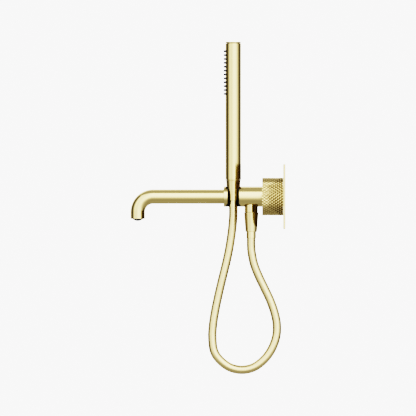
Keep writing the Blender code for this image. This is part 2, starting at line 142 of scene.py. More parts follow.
# The light on the object is around * upward by direction. The camera itself sees an even backdrop.
def addStudio():
    world = bpy.data.worlds.new("studio")
    bpy.context.scene.world = world
    world.use_nodes = True
    tree = world.node_tree
    tree.nodes.clear()
    add, link = tree.nodes.new, tree.links.new
    split = add("ShaderNodeSeparateXYZ")
    link(add("ShaderNodeTexCoord").outputs["Generated"], split.inputs[0])
    turn = mathNode(tree, "ARCTAN2", split.outputs["Y"], split.outputs["X"])
    azimuth = mathNode(tree, "ADD", mathNode(tree, "MULTIPLY", turn, 1 / fullTurn), 0.5)
    climb = mathNode(tree, "MULTIPLY", mathNode(tree, "ARCSINE", split.outputs["Z"]), 1 / math.pi)
    height = mathNode(tree, "ADD", climb, 0.5)
    around, upward = add("ShaderNodeValToRGB"), add("ShaderNodeValToRGB")
    fillRamp(around, studioSet["around"])
    fillRamp(upward, studioSet["upward"])
    link(azimuth, around.inputs[0])
    link(height, upward.inputs[0])
    low, lowFull, highFull, high = studioSet["strips"]
    shares = []
    for start, end in ((low, lowFull), (high, highFull)):
        fade = add("ShaderNodeMapRange")
        link(split.outputs["Z"], fade.inputs["Value"])
        fade.inputs["From Min"].default_value, fade.inputs["From Max"].default_value = start, end
        shares.append(fade.outputs[0])
    even = add("ShaderNodeMix")
    link(mathNode(tree, "MULTIPLY", *shares), even.inputs["Factor"])
    even.inputs["A"].default_value = studioSet["evenLight"]
    link(around.outputs[0], even.inputs["B"])
    rays = add("ShaderNodeLightPath")
    deep = add("ShaderNodeMapRange")
    link(rays.outputs["Ray Depth"], deep.inputs["Value"])
    deep.inputs["From Min"].default_value, deep.inputs["From Max"].default_value = 2, 3
    deep.inputs["To Min"].default_value, deep.inputs["To Max"].default_value = 1, studioSet["deepShare"]
    light = mathNode(tree, "MULTIPLY", even.outputs[0], upward.outputs[0])
    scale = mathNode(tree, "MULTIPLY", deep.outputs[0], rampTop**2 * studioSet["strength"])
    light = mathNode(tree, "MULTIPLY", light, scale)
    glow, backdrop = add("ShaderNodeBackground"), add("ShaderNodeBackground")
    link(light, glow.inputs["Strength"])
    backdrop.inputs["Strength"].default_value = studioSet["backdrop"]
    choice = add("ShaderNodeMixShader")
    link(rays.outputs["Is Camera Ray"], choice.inputs[0])
    link(glow.outputs[0], choice.inputs[1])
    link(backdrop.outputs[0], choice.inputs[2])
    link(choice.outputs[0], add("ShaderNodeOutputWorld").inputs[0])


addCamera()
addStudio()
bpy.context.scene.view_settings.view_transform = "Filmic"
bpy.context.scene.view_settings.look = "Very High Contrast"
print("camera and studio ready")


# Each finish has a base colour and a second tone that drifts in by patchSize, a roughness that wanders between
# two values, hairlines of roughness, and a fine bump. Sizes are in metres.
finishes = {
    "paleGold": {
        "colour": (0.90, 0.72, 0.33), "tone": (0.875, 0.69, 0.30), "metallic": 1.0, "roughness": (0.105, 0.150),
        "patchSize": 0.030, "hairline": 0.05, "grainSize": 0.0011, "grain": 0.008,
    },
    "goldHose": {
        "colour": (0.90, 0.725, 0.35), "tone": (0.875, 0.695, 0.32), "metallic": 1.0, "roughness": (0.25, 0.31),
        "patchSize": 0.020, "hairline": 0.04, "grainSize": 0.0016, "grain": 0.02,
    },
    "plainBrass": {
        "colour": (0.72, 0.55, 0.27), "tone": (0.62, 0.44, 0.20), "metallic": 1.0, "roughness": (0.26, 0.40),
        "patchSize": 0.006, "hairline": 0.12, "grainSize": 0.0008, "grain": 0.05,
    },
    "screwSteel": {
        "colour": (0.58, 0.58, 0.58), "tone": (0.48, 0.47, 0.46), "metallic": 1.0, "roughness": (0.24, 0.38),
        "patchSize": 0.003, "hairline": 0.10, "grainSize": 0.0006, "grain": 0.05,
    },
    "blackPlastic": {
        "colour": (0.016, 0.016, 0.018), "tone": (0.026, 0.026, 0.028), "metallic": 0.0, "roughness": (0.30, 0.42),
        "patchSize": 0.008, "hairline": 0.05, "grainSize": 0.0007, "grain": 0.10,
    },
    "blackSilicone": {
        "colour": (0.020, 0.020, 0.022), "tone": (0.034, 0.034, 0.036), "metallic": 0.0, "roughness": (0.48, 0.62),
        "patchSize": 0.004, "hairline": 0.03, "grainSize": 0.0005, "grain": 0.12,
    },
    "greyPlastic": {
        "colour": (0.050, 0.050, 0.053), "tone": (0.042, 0.042, 0.045), "metallic": 0.0, "roughness": (0.34, 0.46),
        "patchSize": 0.005, "hairline": 0.04, "grainSize": 0.0006, "grain": 0.10,
    },
    "whitePlastic": {
        "colour": (0.74, 0.74, 0.72), "tone": (0.68, 0.67, 0.64), "metallic": 0.0, "roughness": (0.38, 0.50),
        "patchSize": 0.008, "hairline": 0.04, "grainSize": 0.0008, "grain": 0.10,
    },
    "sealRubber": {
        "colour": (0.026, 0.026, 0.026), "tone": (0.040, 0.040, 0.039), "metallic": 0.0, "roughness": (0.60, 0.78),
        "patchSize": 0.004, "hairline": 0.02, "grainSize": 0.0005, "grain": 0.20,
    },
    "sealFoam": {
        "colour": (0.045, 0.045, 0.046), "tone": (0.028, 0.028, 0.029), "metallic": 0.0, "roughness": (0.82, 0.95),
        "patchSize": 0.003, "hairline": 0.0, "grainSize": 0.0009, "grain": 0.60,
    },
}
# The wall plate's gold is paleGold made darker: painted shade, standing in for the darker look that light gives the
# plate.
finishes["plateGold"] = {
    **finishes["paleGold"],
    "colour": (0.70, 0.56, 0.26), "tone": (0.68, 0.54, 0.24), "roughness": (0.15, 0.20), "patchSize": 0.06,
}
# The knobs' gold has painted shade, a darker colour low down in their grooves that stands in for the shade there:
# "axis" is how far each knob's axis is from the middle, "colour" is the painted shade's colour, and the stops are
# (level, share of the plain colour), for levels that run from 0 at radius - span to 1 at radius.
finishes["knurledGold"] = {
    **finishes["paleGold"],
    "grooves": {
        "axis": 75 * mm, "radius": 30 * mm, "span": 1.5 * mm, "colour": (0.36, 0.235, 0.080),
        "stops": ((0.34, 1), (0.48, 0), (0.58, 0.25)),
    },
}
# What the finishes share: how far hairlines are drawn out, which part of their noise shows, and the spread of the
# roughness's noise, whose patches are a share of patchSize.
grainSet = {
    "stretch": (1.0, 0.06, 0.06), "lineDetail": 2.0, "crests": (0.62, 0.72), "wander": (0.35, 0.65),
    "wanderShare": 0.4, "bumpDistance": 0.1 * mm,
}


def noiseOf(tree, place, size, detail=3.0, stretch=(1, 1, 1)):
    mapping = tree.nodes.new("ShaderNodeMapping")
    mapping.inputs["Scale"].default_value = stretch
    tree.links.new(place, mapping.inputs["Vector"])
    noise = tree.nodes.new("ShaderNodeTexNoise")
    noise.inputs["Scale"].default_value = 1 / size
    noise.inputs["Detail"].default_value = detail
    tree.links.new(mapping.outputs[0], noise.inputs["Vector"])
    return noise.outputs["Fac"]


# Painted shade in the knobs' grooves. With r = distance from the knob's axis, level = (r - radius + span) / span, and
# the stops give the share of the plain colour there; the rest is the painted shade's colour. It is low at the bottom of
# a groove and rises to 1 at the crests and well below the grooves.
def paintGrooveShade(tree, place, colour, grooves):
    add, link = tree.nodes.new, tree.links.new
    split = add("ShaderNodeSeparateXYZ")
    link(place, split.inputs[0])
    across = mathNode(tree, "SUBTRACT", mathNode(tree, "ABSOLUTE", split.outputs["X"]), grooves["axis"])
    square = mathNode(tree, "ADD", mathNode(tree, "MULTIPLY", across, across),
                      mathNode(tree, "MULTIPLY", split.outputs["Z"], split.outputs["Z"]))
    level = add("ShaderNodeMapRange")
    link(mathNode(tree, "SQRT", square), level.inputs["Value"])
    level.inputs["From Min"].default_value = grooves["radius"] - grooves["span"]
    level.inputs["From Max"].default_value = grooves["radius"]
    share = add("ShaderNodeValToRGB")
    link(level.outputs[0], share.inputs[0])
    for spot, value in grooves["stops"]:
        share.color_ramp.elements.new(spot).color = (value, value, value, 1)
    share.color_ramp.elements[0].color = (1, 1, 1, 1)
    shadedColour = add("ShaderNodeMix")
    shadedColour.data_type = "RGBA"
    shadedColour.inputs["A"].default_value = (*grooves["colour"], 1)
    link(share.outputs[0], shadedColour.inputs["Factor"])
    link(colour, shadedColour.inputs["B"])
    return shadedColour.outputs["Result"]


# A material from one of the finishes. All its noise is in the object's own coordinates.
def makeFinish(name, finish):
    made = bpy.data.materials.new(name)
    made.use_nodes = True
    tree = made.node_tree
    add, link = tree.nodes.new, tree.links.new
    shader = tree.nodes["Principled BSDF"]
    shader.inputs["Metallic"].default_value = finish["metallic"]
    place = add("ShaderNodeTexCoord").outputs["Object"]
    patches = noiseOf(tree, place, finish["patchSize"])
    tones = add("ShaderNodeMix")
    tones.data_type = "RGBA"
    tones.inputs["A"].default_value = (*finish["colour"], 1)
    tones.inputs["B"].default_value = (*finish["tone"], 1)
    link(patches, tones.inputs["Factor"])
    colour = tones.outputs["Result"]
    # Painted shade low down in the knobs' grooves.
    if "grooves" in finish:
        colour = paintGrooveShade(tree, place, colour, finish["grooves"])
    link(colour, shader.inputs["Base Color"])
    # Hairlines are noise stretched along Y and Z, where only its narrow crests count.
    lines = noiseOf(tree, place, finish["grainSize"], grainSet["lineDetail"], grainSet["stretch"])
    crests = add("ShaderNodeMapRange")
    crests.inputs["From Min"].default_value, crests.inputs["From Max"].default_value = grainSet["crests"]
    crests.inputs["To Max"].default_value = finish["hairline"]
    link(lines, crests.inputs["Value"])
    wander = add("ShaderNodeMapRange")
    wander.inputs["From Min"].default_value, wander.inputs["From Max"].default_value = grainSet["wander"]
    wander.inputs["To Min"].default_value, wander.inputs["To Max"].default_value = finish["roughness"]
    link(noiseOf(tree, place, finish["patchSize"] * grainSet["wanderShare"]), wander.inputs["Value"])
    link(mathNode(tree, "ADD", wander.outputs[0], crests.outputs[0]), shader.inputs["Roughness"])
    bump = add("ShaderNodeBump")
    bump.inputs["Strength"].default_value = finish["grain"]
    bump.inputs["Distance"].default_value = grainSet["bumpDistance"]
    link(noiseOf(tree, place, finish["grainSize"]), bump.inputs["Height"])
    link(bump.outputs[0], shader.inputs["Normal"])
    return made


materials = {name: makeFinish(name, finish) for name, finish in finishes.items()}
finishOfSlot = {
    "gold_metal": "paleGold", "gold_hose": "goldHose", "plain_brass": "plainBrass", "screw_steel": "screwSteel",
    "black_plastic": "blackPlastic", "black_silicone": "blackSilicone", "grey_plastic": "greyPlastic",
    "white_plastic": "whitePlastic", "seal_rubber": "sealRubber", "seal_foam": "sealFoam",
}
slotOfNode = {entry["node"]: entry["material_slot"] for entry in frame["record"]["subparts"]}
bodyOfNode = {node: body for body, members in frame["record"]["behaviour"]["bodies"].items() for node in members}
print("finishes ready:", len(materials))


# A mesh from a grid or several: the doubles along seams and at poles are merged, collapsed faces go, and all
# faces are turned outwards. Edges sharper than the given angle stay crisp.
def addSurface(name, points, faces, finish, crisp=35):
    mesh = bpy.data.meshes.new(name)
    mesh.from_pydata(np.asarray(points, float).reshape(-1, 3).tolist(), [], faces)
    work = bmesh.new()
    work.from_mesh(mesh)
    bmesh.ops.remove_doubles(work, verts=work.verts, dist=0.002 * mm)
    bmesh.ops.dissolve_degenerate(work, edges=work.edges, dist=0.001 * mm)
    bmesh.ops.recalc_face_normals(work, faces=work.faces)
    work.to_mesh(mesh)
    work.free()
    mesh.shade_smooth()
    mesh.set_sharp_from_angle(angle=math.radians(crisp))
    mesh.materials.append(materials[finish])
    piece = bpy.data.objects.new(name, mesh)
    bpy.context.scene.collection.objects.link(piece)
    return piece


# Four-sided faces between the neighbours of a grid, row by row. A closed side joins the last one to the first.
def gridFaces(rows, columns, closeRows=False, closeColumns=False, first=0):
    i, j = np.meshgrid(np.arange(rows - (not closeRows)), np.arange(columns - (not closeColumns)), indexing="ij")
    down, across = (i + 1) % rows, (j + 1) % columns
    corners = [i * columns + j, i * columns + across, down * columns + across, down * columns + j]
    return (np.stack(corners, axis=-1).reshape(-1, 4) + first).tolist()


# Several grids of points made one list of points and one of faces.
def joinGrids(grids):
    points, faces, first = [], [], 0
    for grid, closeRows, closeColumns in grids:
        rows, columns = grid.shape[:2]
        points.append(grid.reshape(-1, 3))
        faces += gridFaces(rows, columns, closeRows, closeColumns, first)
        first += rows * columns
    return np.concatenate(points), faces


# An outline of (radius, height, fillet): each corner becomes an arc of its fillet, tangent to both sides, and
# one more point just past each end of the arc keeps the flats flat under smooth shading.
def filletOutline(corners, support=0.25 * mm):
    corners = np.asarray(corners, float)
    points = [corners[0, :2]]
    for before, corner, after in zip(corners, corners[1:], corners[2:]):
        here, fillet = corner[:2], corner[2]
        back, on = before[:2] - here, after[:2] - here
        backLength, onLength = np.linalg.norm(back), np.linalg.norm(on)
        if fillet <= 0:
            points.append(here)
            continue
        back, on = back / backLength, on / onLength
        half = math.acos(float(np.clip(back @ on, -1, 1))) / 2
        reach = min(fillet / math.tan(half), 0.45 * backLength, 0.45 * onLength)
        centre = here + (back + on) / np.linalg.norm(back + on) * reach / math.cos(half)
        start, end, turn = here + back * reach - centre, here + on * reach - centre, math.pi - 2 * half
        part = np.linspace(0, 1, 6)[:, None]
        if backLength - reach > 3 * support:
            points.append(here + back * (reach + support))
        points.extend(centre + (start * np.sin((1 - part) * turn) + end * np.sin(part * turn)) / math.sin(turn))
        if onLength - reach > 3 * support:
            points.append(here + on * (reach + support))
    points.append(corners[-1, :2])
    return np.array(points)


# An outline that is a closed ring: its first corner is met again at the end.
def ringOutline(corners):
    corners = list(corners)
    return filletOutline(corners[-1:] + corners + corners[:1])[1:-1]


# Each point (r, h) of the outline goes round the axis: centre + h * axis + r * (cos a * u + sin a * v).
def turnGrid(outline, columns, centre, towardsRoom=False):
    angle = np.linspace(0, fullTurn, columns, endpoint=False)[None, :]
    r, h = outline[:, 0][:, None], outline[:, 1][:, None]
    x, other, along = r * np.cos(angle), r * np.sin(angle), h + 0 * angle
    grid = np.stack([x, -along, other] if towardsRoom else [x, other, along], axis=-1)
    return grid + np.array(centre)


# A piece turned about an axis from the corners of its outline, a closed ring or one that ends on the axis.
def turnedPiece(name, corners, centre, finish, columns=96, ring=False, towardsRoom=False):
    outline = ringOutline(corners) if ring else filletOutline(corners)
    grid = turnGrid(outline, columns, centre, towardsRoom)
    return addSurface(name, *joinGrids([(grid, ring, True)]), finish)


# The piece rides on the body of the nodes that it stands for, and those nodes are hidden.
def settle(piece, *replaced):
    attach(piece, bodyOfNode[replaced[0]])
    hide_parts(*replaced)
    return piece


# A round hole through part of a piece. Each drill is (start, end, radius), and all are taken away at once.
def drillHoles(piece, drills, columns=32, crisp=35):
    work = bmesh.new()
    for start, end, radius in drills:
        start, end = mathutils.Vector(start), mathutils.Vector(end)
        turn = (end - start).to_track_quat("Z", "Y").to_matrix().to_4x4()
        bmesh.ops.create_cone(
            work, cap_ends=True, segments=columns, radius1=radius, radius2=radius, depth=(end - start).length,
            matrix=mathutils.Matrix.Translation((start + end) / 2) @ turn,
        )
    mesh = bpy.data.meshes.new("drill")
    work.to_mesh(mesh)
    work.free()
    drill = bpy.data.objects.new("drill", mesh)
    bpy.context.scene.collection.objects.link(drill)
    cut = piece.modifiers.new("holes", "BOOLEAN")
    cut.operation, cut.solver, cut.object = "DIFFERENCE", "EXACT", drill
    evaluated = piece.evaluated_get(bpy.context.evaluated_depsgraph_get())
    old, piece.data = piece.data, bpy.data.meshes.new_from_object(evaluated)
    piece.modifiers.clear()
    bpy.data.objects.remove(drill)
    bpy.data.meshes.remove(old)
    piece.data.name = piece.name
    piece.data.shade_smooth()
    piece.data.set_sharp_from_angle(angle=math.radians(crisp))
    return piece


# Centre, radius and ends of a node that is turned about an upright axis.
def uprightSizes(node):
    low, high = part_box(node)
    return {"x": (low.x + high.x) / 2, "y": (low.y + high.y) / 2, "radius": (high.x - low.x) / 2,
            "low": low.z, "high": high.z}


# The same for an axis that points from the wall into the room: start and end are distances from the wall.
def roomSizes(node):
    low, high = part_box(node)
    return {"x": (low.x + high.x) / 2, "z": (low.z + high.z) / 2, "radius": (high.x - low.x) / 2,
            "start": -high.y, "end": -low.y}


hoseSet = {
    "radius": 7.0 * mm, "bore": 4.5 * mm, "columns": 48, "ringStep": 2.0 * mm,
    "coilPitch": 2.4 * mm, "coilHeight": 0.02 * mm,
    # The centre line (y, z), from the ferrule under the outlet, round the loop, to the hand shower's ferrule.
    "route": [
        (-0.0548, -0.0655), (-0.0549, -0.0765), (-0.0541, -0.0890), (-0.0501, -0.1083),
        (-0.0426, -0.1275), (-0.0334, -0.1467), (-0.0244, -0.1659), (-0.0176, -0.1851),
        (-0.0138, -0.2043), (-0.0147, -0.2235), (-0.0214, -0.2427), (-0.0330, -0.2595),
        (-0.0499, -0.2726), (-0.0691, -0.2771), (-0.0884, -0.2733), (-0.1040, -0.2622),
        (-0.1140, -0.2475), (-0.1170, -0.2260), (-0.1159, -0.2050), (-0.1123, -0.1820),
        (-0.1069, -0.1564), (-0.1024, -0.1371), (-0.0977, -0.1179), (-0.0931, -0.0987),
        (-0.0893, -0.0795), (-0.0857, -0.0550), (-0.0836, -0.0320), (-0.0835, -0.0155),
    ],
    "blendBack": (0.0, 0.0415, -0.0151),    # from the hose's top end back to where it stops following it
}


# A Catmull-Rom curve through the route's points, resampled at even steps.
def hosePath(holderX):
    route = np.array(hoseSet["route"])
    last = len(route) - 1
    part = np.clip((np.arange(last + 1) - 2) / (last - 4), 0, 1)
    points = np.column_stack([holderX * part**2 * (3 - 2 * part), route])
    guide = np.concatenate([points[:1], points, points[-1:]])
    a, b, c, d = (guide[k:k + last, None] for k in range(4))
    t = np.linspace(0, 1, 24, endpoint=False)[None, :, None]
    curve = 0.5 * (2*b + (c - a)*t + (2*a - 5*b + 4*c - d)*t**2 + (3*b - 3*c + d - a)*t**3)
    curve = np.concatenate([curve.reshape(-1, 3), points[-1:]])
    walked = np.concatenate([[0], np.cumsum(np.linalg.norm(np.diff(curve, axis=0), axis=1))])
    even = np.linspace(0, walked[-1], round(walked[-1] / hoseSet["ringStep"]) + 1)
    return np.column_stack([np.interp(even, walked, curve[:, k]) for k in range(3)]), walked[-1]


# A circle carried along the path: place = path + r * (cos a * side + sin a * normal), where side is close to +X
# and r swells a little along a fine helix. The two ends turn in to the bore.
def addHose():
    holderX = uprightSizes("upper_hose_fitting")["x"]
    path, length = hosePath(holderX)
    ahead = np.gradient(path, axis=0)
    ahead /= np.linalg.norm(ahead, axis=1, keepdims=True)
    side = np.array([1.0, 0, 0]) - ahead[:, :1] * ahead
    side /= np.linalg.norm(side, axis=1, keepdims=True)
    normal = np.cross(ahead, side)
    angle = np.linspace(0, fullTurn, hoseSet["columns"], endpoint=False)
    along = np.linspace(0, length, len(path))
    helix = fullTurn * along[:, None] / hoseSet["coilPitch"] + angle[None, :]
    radius = hoseSet["radius"] - hoseSet["coilHeight"] * (0.5 - 0.5 * np.cos(helix))
    ring = np.cos(angle)[None, :, None] * side[:, None] + np.sin(angle)[None, :, None] * normal[:, None]
    skin = path[:, None] + radius[:, :, None] * ring
    bore = path[:, None] + hoseSet["bore"] * ring
    grid = np.concatenate([skin, bore[::-1]])
    hose = addSurface("hose", *joinGrids([(grid, True, True)]), "goldHose", crisp=50)
    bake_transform(hose)
    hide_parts("shower_hose")
    print(f"hose made: {length:.3f} m")


addHose()


pipeSet = {
    "radius": 11.5 * mm, "bore": 10.0 * mm, "bend": 24.5 * mm, "lip": 0.45 * mm, "boreDepth": 14.0 * mm,
    "columns": 112, "bendRows": 40, "sunk": 1.6 * mm,
}
bodySet = {
    "edge": 0.35 * mm, "holeEdge": 0.45 * mm, "slotHalf": 9.1 * mm, "holeRadius": 12.5 * mm, "bore": 11.2 * mm,
    "boreEnd": 66.0 * mm, "skinRows": 44, "wallRows": 10, "screwRadius": 2.8 * mm, "recess": 2.2 * mm,
    "margin": 1.0 * mm, "pipeGap": 0.2 * mm, "slotColumns": 20, "rimColumns": 44, "backColumns": 26,
}


# Half the width, along Y, of the upright hole with its slot towards +X, at a distance x from the body's axis.
def holeHalfWidth(x, holderX):
    arc = np.sqrt(np.clip(bodySet["holeRadius"] ** 2 - (x - holderX) ** 2, 0, None))
    return np.where(x >= holderX, np.maximum(arc, bodySet["slotHalf"]), arc)


# Angles round the body, 0 at the slot's middle and close together where the hole's rim turns, and how many of them
# belong to the slot and the rim.
def bodyAngles(radius, holderX):
    hole, slotHalf = bodySet["holeRadius"], bodySet["slotHalf"]
    kink = math.sqrt(hole**2 - slotHalf**2)
    turn = np.linspace(math.pi - math.acos(kink / hole), 0, bodySet["rimColumns"])
    rim = np.arccos((holderX - hole * np.cos(turn)) / radius)
    slot = np.linspace(0, rim[0], bodySet["slotColumns"], endpoint=False)
    back = np.linspace(rim[-1], math.pi, bodySet["backColumns"])[1:]
    upper = np.concatenate([slot, rim, back])
    return np.concatenate([upper, fullTurn - upper[-2:0:-1]]), len(slot) + len(rim)


# The skin is r = radius, y from the wall to the hole's rim and from the rim to the front end. Along the rim the
# radius and y turn in by a quarter circle. The hole's walls run straight down from the upper rim to the lower.
def addSpoutBody():
    size = roomSizes("spout_body")
    radius, start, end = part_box("spout_body")[1].z, size["start"], size["end"]
    holderX, holderY = uprightSizes("upper_hose_fitting")["x"], uprightSizes("upper_hose_fitting")["y"]
    angle, wallColumns = bodyAngles(radius, holderX)
    edge = np.minimum(bodySet["holeEdge"], holeHalfWidth(radius * np.cos(angle), holderX))[None]
    bend = np.linspace(0, math.pi / 2, 6)[:, None]
    rimRadius = radius - edge * (1 - np.cos(bend))
    rimWidth = holeHalfWidth(rimRadius * np.cos(angle), holderX) + edge * (1 - np.sin(bend))
    margin, pipeHole = bodySet["margin"], pipeSet["radius"] + bodySet["pipeGap"]
    rear = filletOutline([
        (0, bodySet["boreEnd"], 0), (bodySet["bore"], bodySet["boreEnd"], 0.5 * mm), (bodySet["bore"], start, 0.3 * mm),
        (radius, start, bodySet["edge"]), (radius, start + margin, 0),
    ])
    front = filletOutline([
        (radius, end - margin, 0), (radius, end, bodySet["edge"]), (pipeHole, end, 0.2 * mm),
        (pipeHole, end - bodySet["recess"], 0), (0, end - bodySet["recess"], 0),
    ])
    # Each row is a radius and a distance from the wall for every column.
    flat = np.ones((1, len(angle)))
    share = np.linspace(0, 1, bodySet["skinRows"])[1:, None]
    grids = []
    for outline, sign in ((rear, 1), (front[::-1], -1)):
        rim = -holderY - sign * rimWidth
        near = outline[-1, 1]
        skinDepth = near + (rim[:1] - near) * share
        depth = np.concatenate([outline[:, 1:] * flat, skinDepth, rim[1:]])
        reach = np.concatenate([outline[:, :1] * flat, radius + 0 * skinDepth, rimRadius[1:]])
        grids.append((np.stack([reach * np.cos(angle), -depth, reach * np.sin(angle)], axis=-1), False, True))
        lip = grids[-1][0][-1, :wallColumns]
        fall = np.linspace(1, -1, bodySet["wallRows"])[:, None]
        wall = np.stack([lip[:, 0] + 0 * fall, lip[:, 1] + 0 * fall, lip[:, 2] * fall], axis=-1)
        grids.append((wall, False, False))
    body = addSurface("spoutBody", *joinGrids(grids), "paleGold", crisp=30)
    screw = uprightSizes("spout_body_screw")
    drillHoles(body, [((0, screw["y"], -bodySet["bore"] + mm), (0, screw["y"], -radius - mm), bodySet["screwRadius"])])
    return settle(body, "spout_body")


linerSet = {
    "outer": 12.2 * mm, "mouthHalf": 7.8 * mm, "nutTop": 11.6 * mm, "nutEnd": 9.3 * mm, "clearance": 0.3 * mm,
    "columns": 120, "sideRows": 8, "rimRows": 4, "rim": 0.35 * mm, "backReach": 0.99, "frontReach": 0.93,
}


# A C-shaped sleeve round the holder's axis: the angle runs from one side of the mouth to the other, so that both
# mouth faces are flat. Its ends follow the round body, z = sqrt(body radius squared - x squared), with the edges
# turned in a little, and it is conical inside like the nut that rests in it.
def addLiner():
    nut = uprightSizes("upper_hose_nut")
    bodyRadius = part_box("spout_body")[1].z
    slope = (linerSet["nutTop"] - linerSet["nutEnd"]) / (nut["high"] - nut["low"])
    side = np.linspace(-1, 1, linerSet["sideRows"])
    across = np.linspace(0, 1, linerSet["rimRows"] + 2)[1:-1]
    # A section's points: share of the wall from outer (0) to inner (1), and share of the height (-1 to 1).
    wallShare = np.concatenate([0 * side, across, 0 * side + 1, across[::-1]])[:, None]
    heightShare = np.concatenate([side, 0 * across + 1, side[::-1], 0 * across - 1])[:, None]
    part = np.linspace(0, 1, linerSet["columns"])[None]
    height = heightShare * bodyRadius * 0.8    # a first guess, which three rounds make exact
    for _ in range(3):
        inner = linerSet["nutTop"] - slope * (nut["high"] - height) + linerSet["clearance"]
        radius = linerSet["outer"] + (inner - linerSet["outer"]) * wallShare
        mouth = np.arcsin(linerSet["mouthHalf"] / radius)
        angle = mouth + part * (fullTurn - 2 * mouth)
        x = nut["x"] + radius * np.cos(angle)
        reach = np.clip(x, -bodyRadius * linerSet["backReach"], bodyRadius * linerSet["frontReach"])
        top = np.sqrt(bodyRadius**2 - reach**2)
        height = heightShare * (top - linerSet["rim"] * (2 * wallShare - 1) ** 2)
    grid = np.stack([x, nut["y"] + radius * np.sin(angle), height], axis=-1)
    points, faces = joinGrids([(grid, True, False)])
    rows, columns = grid.shape[:2]
    for column in (0, columns - 1):
        faces.append((np.arange(rows) * columns + column).tolist())
    return settle(addSurface("holderLiner", points, faces, "blackPlastic", crisp=40), "holder_liner")

# A path made of a straight, a quarter circle and a drop. Each outline point is a radius and a distance along it,
# and the circle there stands square to the path.
def addSpoutPipe():
    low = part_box("spout_pipe")[0]
    radius, bend, start = pipeSet["radius"], pipeSet["bend"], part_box("spout_body")[0].y
    reach, drop = -low.y - radius, -low.z
    begin, straight = -start - pipeSet["sunk"], reach - bend
    quarter = bend * math.pi / 2
    total = straight - begin + quarter + drop - bend
    outline = filletOutline([
        (0, 0, 0), (radius, 0, 0.3 * mm), (radius, total, pipeSet["lip"]), (pipeSet["bore"], total, pipeSet["lip"] / 2),
        (pipeSet["bore"], total - pipeSet["boreDepth"], 0), (0, total - pipeSet["boreDepth"], 0),
    ])
    bendPlaces = straight - begin + np.linspace(0, quarter, pipeSet["bendRows"])
    spot = int(np.argmax(outline[:, 1] > bendPlaces[0]))
    skin = np.column_stack([np.full(len(bendPlaces), radius), bendPlaces])
    outline = np.concatenate([outline[:spot], skin, outline[spot:]])
    along = outline[:, 1]
    turned = np.clip((along - (straight - begin)) / bend, 0, math.pi / 2)
    y = -(begin + np.minimum(along, straight - begin) + bend * np.sin(turned))
    z = -bend * (1 - np.cos(turned)) - np.maximum(along - (straight - begin) - quarter, 0)
    centre = np.column_stack([0 * y, y, z])[:, None]
    normal = np.column_stack([0 * y, -np.sin(turned), np.cos(turned)])[:, None]
    angle = np.linspace(0, fullTurn, pipeSet["columns"], endpoint=False)[None, :, None]
    grid = centre + outline[:, 0][:, None, None] * (np.cos(angle) * np.array([1.0, 0, 0]) + np.sin(angle) * normal)
    return settle(addSurface("spoutPipe", *joinGrids([(grid, False, True)]), "paleGold"), "spout_pipe")


aeratorSet = {"drop": 3.4 * mm, "pitch": 1.7 * mm, "relief": 0.10 * mm, "rows": 56, "columns": 144, "rim": 0.8 * mm}


# The dome falls by drop * (1 - (r / radius) squared). Over it lies a honeycomb, the sum of three cosines 60
# degrees apart, which fades out towards the rim.
def addAerator():
    size = uprightSizes("aerator_insert")
    radius = size["radius"]
    mouth = size["low"] + aeratorSet["drop"]
    r = np.linspace(0, radius, aeratorSet["rows"])[:, None]
    angle = np.linspace(0, fullTurn, aeratorSet["columns"], endpoint=False)[None]
    x, y = r * np.cos(angle), r * np.sin(angle)
    wave = fullTurn / aeratorSet["pitch"]
    comb = sum(np.cos(wave * (x * math.cos(a) + y * math.sin(a))) for a in (0, math.pi / 3, 2 * math.pi / 3))
    fade = np.clip((radius - aeratorSet["rim"] - r) / aeratorSet["rim"], 0, 1)
    relief = aeratorSet["relief"] * fade * np.clip((comb + 0.6) / 2, 0, 1)
    dome = np.stack([x, y, mouth - aeratorSet["drop"] * (1 - (r / radius) ** 2) + relief], axis=-1)
    back = turnGrid(np.array([(radius, mouth), (radius, size["high"]), (0, size["high"])]), dome.shape[1], (0, 0, 0))
    grid = np.concatenate([dome, back[1:]]) + np.array([size["x"], size["y"], 0])
    settle(addSurface("aeratorInsert", *joinGrids([(grid, False, True)]), "greyPlastic"), "aerator_insert")
    ring = uprightSizes("aerator_housing")
    corners = [
        (ring["radius"], ring["high"], 0.2 * mm), (ring["radius"], ring["low"], 0.25 * mm),
        (radius + 0.3 * mm, ring["low"], 0.25 * mm), (radius + 0.3 * mm, ring["high"], 0.2 * mm),
    ]
    centre = (ring["x"], ring["y"], 0)
    settle(turnedPiece("aeratorHousing", corners, centre, "plainBrass", ring=True), "aerator_housing")


outletSet = {
    "bottom": -25.1 * mm, "thread": 9.5 * mm, "edge": 0.4 * mm, "sink": 0.15 * mm, "columns": 112, "core": -12 * mm,
    "skinEnd": -20 * mm, "skinRows": 8,
}


# A stub under the body whose top edge follows it: z = -sqrt(body radius squared - (r cos a) squared). The rows
# below change evenly from that saddle to the flat lower edge.
def addHoseOutlet():
    size = uprightSizes("hose_outlet")
    bodyRadius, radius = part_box("spout_body")[1].z, size["radius"]
    angle = np.linspace(0, fullTurn, outletSet["columns"], endpoint=False)[None]
    saddle = outletSet["sink"] - np.sqrt(bodyRadius**2 - (radius * np.cos(angle)) ** 2)
    lower = filletOutline([
        (radius, outletSet["skinEnd"], 0), (radius, outletSet["bottom"], outletSet["edge"]),
        (outletSet["thread"], outletSet["bottom"], 0.1 * mm), (outletSet["thread"], size["low"], 0.4 * mm),
        (0, size["low"], 0),
    ])
    share = np.linspace(0, 1, outletSet["skinRows"])[:-1, None]
    skin = saddle + (lower[0, 1] - saddle) * share
    height = np.concatenate([0 * angle + outletSet["core"], skin, lower[:, 1:] + 0 * angle])
    reach = np.concatenate([0 * angle, radius + 0 * skin, lower[:, :1] + 0 * angle])
    grid = np.stack([reach * np.cos(angle), size["y"] + reach * np.sin(angle), height], axis=-1)
    return settle(addSurface("hoseOutlet", *joinGrids([(grid, False, True)]), "paleGold"), "hose_outlet")


